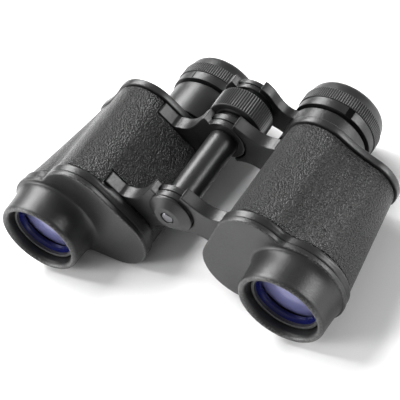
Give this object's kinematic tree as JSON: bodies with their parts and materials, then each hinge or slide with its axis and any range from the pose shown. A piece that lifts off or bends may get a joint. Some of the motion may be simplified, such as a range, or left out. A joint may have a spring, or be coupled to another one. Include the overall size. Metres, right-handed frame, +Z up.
{
  "type": "binoculars",
  "caption": "Porro prism binoculars in the 8x30 class: two leatherette-covered prism housings on a folding hinge, with a knurled centre focusing wheel and an ocular bridge.",
  "frame": {"origin": "centre of the bounding box in plan, at the level the binoculars rest on", "axes": "+X towards the right barrel as the user holds it, +Y along the hinge pin from objectives to eyepieces, +Z up"},
  "size_m": [0.167, 0.112, 0.053],
  "materials": {
    "black_paint": "cast light alloy under satin black stoved paint with a faint orange-peel",
    "leatherette": "black pebble-grain covering, dull sheen",
    "black_trim": "light alloy, semi-matt black, fine straight knurl",
    "matt_bore": "light alloy under dead matt black inside paint",
    "spring_steel": "plain turned or sprung steel",
    "blued_steel": "blackened steel, slightly glossy",
    "coated_glass": "polished, violet-blue anti-reflection coating",
    "prism_glass": "polished clear glass"
  },
  "bodies": {
    "right_half": {"right_prism_housing": "black_paint", "right_leatherette": "leatherette", "right_front_cover": "black_paint", "right_objective_rim": "black_paint", "right_objective_cell": "matt_bore", "right_objective_lens": "coated_glass", "right_objective_ring": "matt_bore", "right_rear_prism": "prism_glass", "right_front_prism": "prism_glass", "right_rear_prism_strap": "spring_steel", "right_front_prism_strap": "spring_steel", "right_rear_cover": "black_paint", "hinge_pin": "spring_steel", "hinge_tube": "black_paint", "hinge_cap": "black_paint", "cap_screw": "blued_steel", "hinge_nut": "black_trim"},
    "left_half": {"left_prism_housing": "black_paint", "left_leatherette": "leatherette", "left_front_cover": "black_paint", "left_objective_rim": "black_paint", "left_objective_cell": "matt_bore", "left_objective_lens": "coated_glass", "left_objective_ring": "matt_bore", "left_rear_prism": "prism_glass", "left_front_prism": "prism_glass", "left_rear_prism_strap": "spring_steel", "left_front_prism_strap": "spring_steel", "left_rear_cover": "black_paint"},
    "focus_wheel": {"focus_wheel": "black_trim"},
    "spindle": {"focus_spindle": "spring_steel", "bridge_cap": "blued_steel"},
    "right_bridge": {"right_bridge_arm": "black_paint"},
    "left_bridge": {"left_bridge_arm": "black_paint", "left_ocular_tube": "matt_bore", "left_field_lens": "prism_glass", "left_eye_lens": "coated_glass", "left_dioptre_ring": "black_paint", "left_knurled_ring": "black_trim", "left_eyecup": "black_trim"},
    "right_ocular": {"right_ocular_tube": "matt_bore", "right_field_lens": "prism_glass", "right_eye_lens": "coated_glass"},
    "right_head": {"right_dioptre_ring": "black_paint", "right_knurled_ring": "black_trim", "right_eyecup": "black_trim"}
  },
  "joints": [
    {"name": "hinge_fold", "type": "hinge", "parent": "right_half", "child": "left_half", "pos_m": [0, -0.00195, 0.0359], "axis": [0, -1, 0], "range_deg": [-36, 20]},
    {"name": "focus_turn", "type": "hinge", "parent": "right_half", "child": "focus_wheel", "pos_m": [0, 0.02455, 0.0359], "axis": [0, 1, 0], "range_deg": [-70, 290.5]},
    {"name": "spindle_slide", "type": "slide", "parent": "right_half", "child": "spindle", "axis": [0, 1, 0], "range_m": [-0.0012, 0.005]},
    {"name": "right_bridge_slide", "type": "slide", "parent": "right_half", "child": "right_bridge", "axis": [0, 1, 0], "range_m": [-0.00121, 0.00501]},
    {"name": "left_bridge_slide", "type": "slide", "parent": "left_half", "child": "left_bridge", "axis": [0, 1, 0], "range_m": [-0.00121, 0.00501]},
    {"name": "dioptre_slide", "type": "slide", "parent": "right_bridge", "child": "right_ocular", "axis": [0, 1, 0], "range_m": [-0.00083, 0.00083]},
    {"name": "dioptre_turn", "type": "hinge", "parent": "right_ocular", "child": "right_head", "pos_m": [0.0324, 0.04505, 0.0192], "axis": [0, 1, 0], "range_deg": [-50, 50]}
  ],
  "couplings": [
    {"joint": "focus_turn", "follows": "spindle_slide", "rad_per_m": 1013.4},
    {"joint": "right_bridge_slide", "follows": "spindle_slide", "ratio": 1},
    {"joint": "left_bridge_slide", "follows": "spindle_slide", "ratio": 1},
    {"joint": "dioptre_turn", "follows": "dioptre_slide", "rad_per_m": 1047.2}
  ]
}
